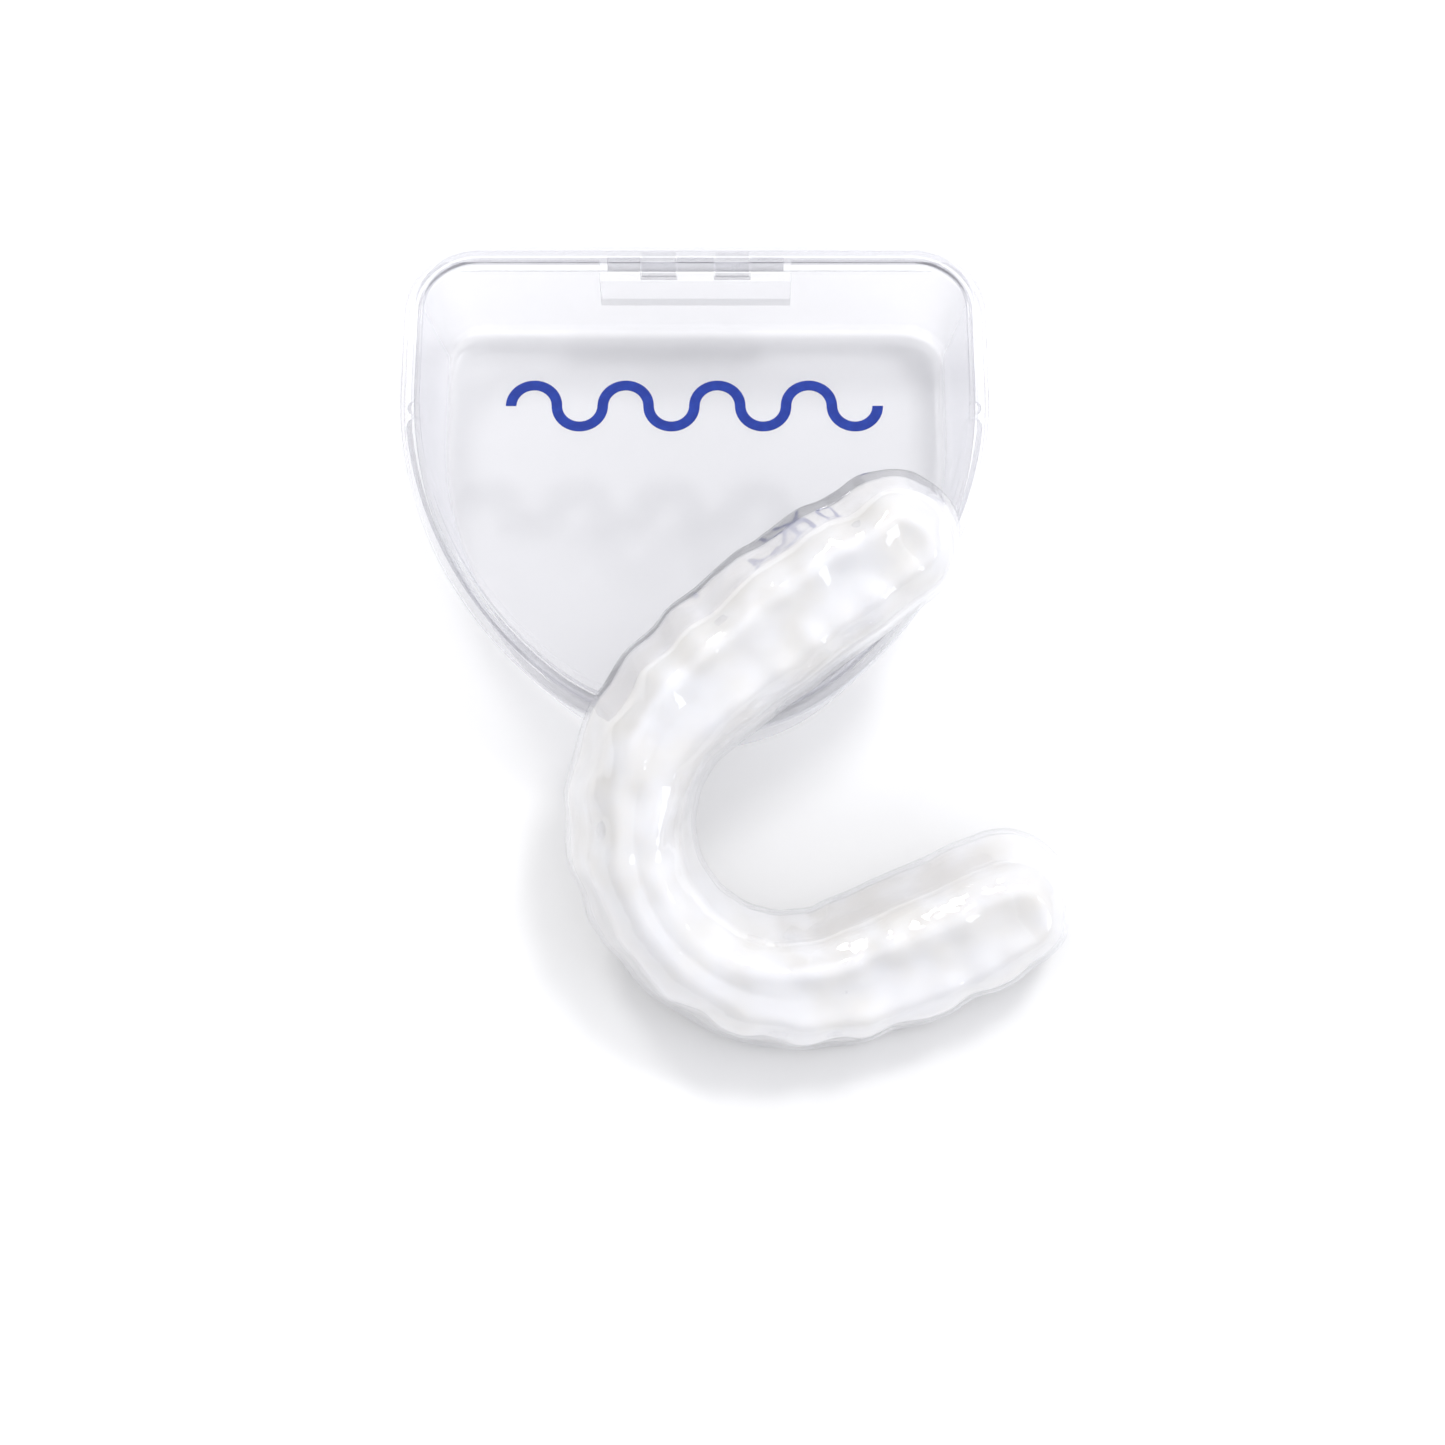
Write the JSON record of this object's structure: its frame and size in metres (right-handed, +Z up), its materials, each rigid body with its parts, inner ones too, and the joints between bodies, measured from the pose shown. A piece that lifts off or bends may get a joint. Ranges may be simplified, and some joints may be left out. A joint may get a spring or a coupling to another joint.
{
  "type": "mouthguard with case",
  "caption": "Clear and white moulded mouthguard leaning on its closed D-shaped translucent case with a rear hinge.",
  "frame": {"origin": "centre of the case's underside", "axes": "+Z up, +Y towards the case's hinge, +X to the right when the rounded nose faces the viewer"},
  "size_m": [0.0878, 0.1093, 0.042],
  "materials": {
    "case_plastic": "translucent frosted, glossy outside",
    "pin_plastic": "natural",
    "blue_ink": "printed, satin",
    "guard_clear": "clear, wet gloss",
    "guard_white": "pearly white"
  },
  "bodies": {
    "base": {"case_base": "case_plastic", "hinge_pin": "pin_plastic"},
    "lid": {"case_lid": "case_plastic", "printed_mark": "blue_ink"},
    "guard": {"guard_shell": "guard_clear", "guard_liner": "guard_white"}
  },
  "joints": [
    {"name": "lid_hinge", "type": "hinge", "parent": "base", "child": "lid", "pos_m": [0, 0.03365, 0.0146], "axis": [-1, 0, 0], "range_deg": [0, 110]},
    {"name": "guard_lift", "type": "slide", "parent": "lid", "child": "guard", "axis": [0, 0, 1], "range_m": [0, 0.06]}
  ]
}
